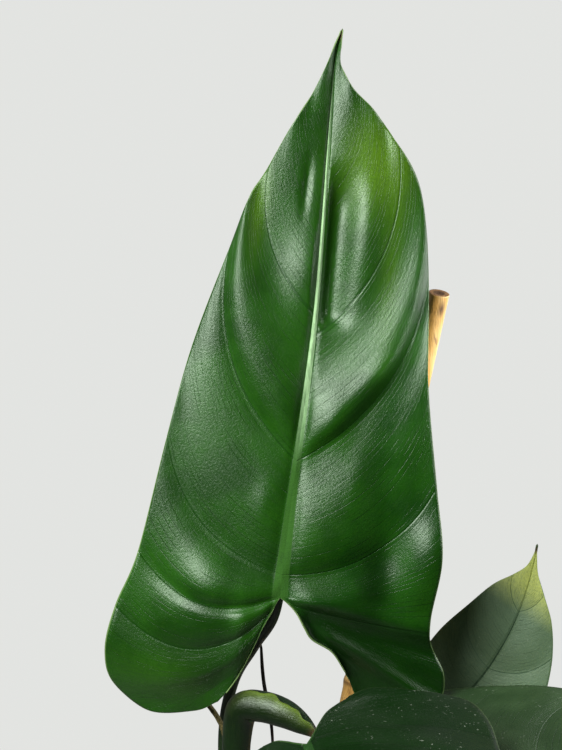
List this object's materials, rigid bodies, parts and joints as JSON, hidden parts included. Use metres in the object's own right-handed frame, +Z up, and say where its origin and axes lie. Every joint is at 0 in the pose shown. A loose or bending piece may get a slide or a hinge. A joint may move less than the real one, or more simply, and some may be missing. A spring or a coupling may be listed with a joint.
{
  "type": "potted philodendron",
  "caption": "Potted philodendron with arrow-shaped glossy leaves, a rolled new leaf and a bamboo stake, standing in a plain round pot.",
  "frame": {"origin": "centre of the pot's flat base, on the surface that it stands on", "axes": "+Z up, -Y the way the large leaf faces, +X to the right seen from the front"},
  "size_m": [0.3737, 0.44, 0.7058],
  "materials": {
    "leaf": "gloss",
    "young_leaf": "satin",
    "stalk": "satin",
    "stem": "matte",
    "root": "matte",
    "dry_sheath": "matte",
    "bamboo": "satin",
    "soil": "matte",
    "pot": "satin",
    "tie": "matte"
  },
  "bodies": {
    "root": {"pot": "pot", "soil": "soil", "bamboo_stake": "bamboo", "stake_tie": "tie", "main_stem": "stem", "large_leaf_blade": "leaf", "large_leaf_petiole": "stalk", "front_leaf_blade": "leaf", "front_leaf_petiole": "stalk", "right_leaf_blade": "leaf", "right_leaf_petiole": "stalk", "back_leaf_blade": "leaf", "back_leaf_petiole": "stalk", "new_leaf_roll": "young_leaf", "aerial_root": "root", "dry_sheath": "dry_sheath"}
  },
  "joints": []
}
